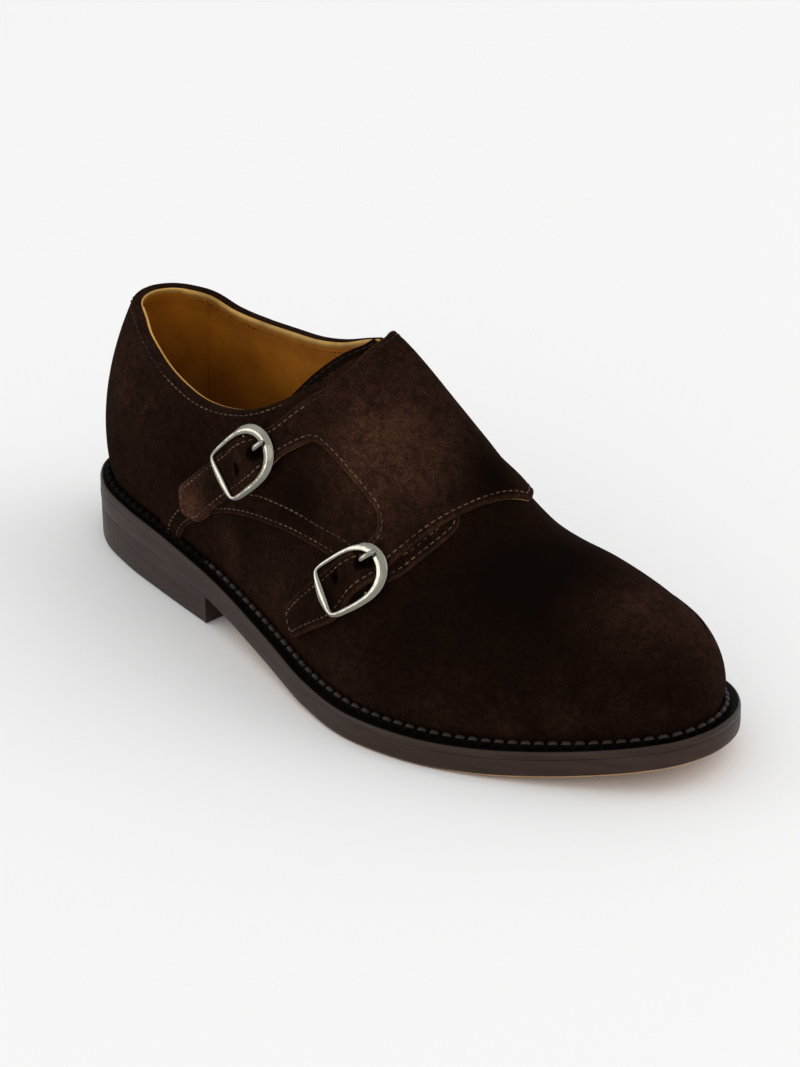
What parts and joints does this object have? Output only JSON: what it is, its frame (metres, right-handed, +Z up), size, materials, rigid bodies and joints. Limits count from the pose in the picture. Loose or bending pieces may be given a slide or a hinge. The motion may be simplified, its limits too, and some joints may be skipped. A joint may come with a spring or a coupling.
{
  "type": "double monk strap shoe",
  "caption": "Plain-toe suede shoe for the right foot, closed by two buckled straps on the outer side, with a storm welt and a low block heel.",
  "frame": {"origin": "on the floor, below the middle of the shoe's outer box", "axes": "+X from heel to toe, +Y to the inner (medial) side of the foot, +Z up"},
  "size_m": [0.305, 0.1194, 0.1215],
  "materials": {
    "brown_suede": "dark brown suede with a soft nap",
    "edge_leather": "smooth dyed and burnished edge, dark brown",
    "tan_lining": "smooth tan leather",
    "polished_steel": "polished bright metal"
  },
  "bodies": {
    "root": {"outsole": "edge_leather", "heel": "edge_leather", "welt": "edge_leather", "insole": "tan_lining", "upper": "brown_suede", "tongue": "brown_suede", "strap_flap": "brown_suede", "buckle_tab_1": "brown_suede", "buckle_tab_2": "brown_suede", "buckle_frame_1": "polished_steel", "buckle_frame_2": "polished_steel", "buckle_prong_1": "polished_steel", "buckle_prong_2": "polished_steel"}
  },
  "joints": []
}
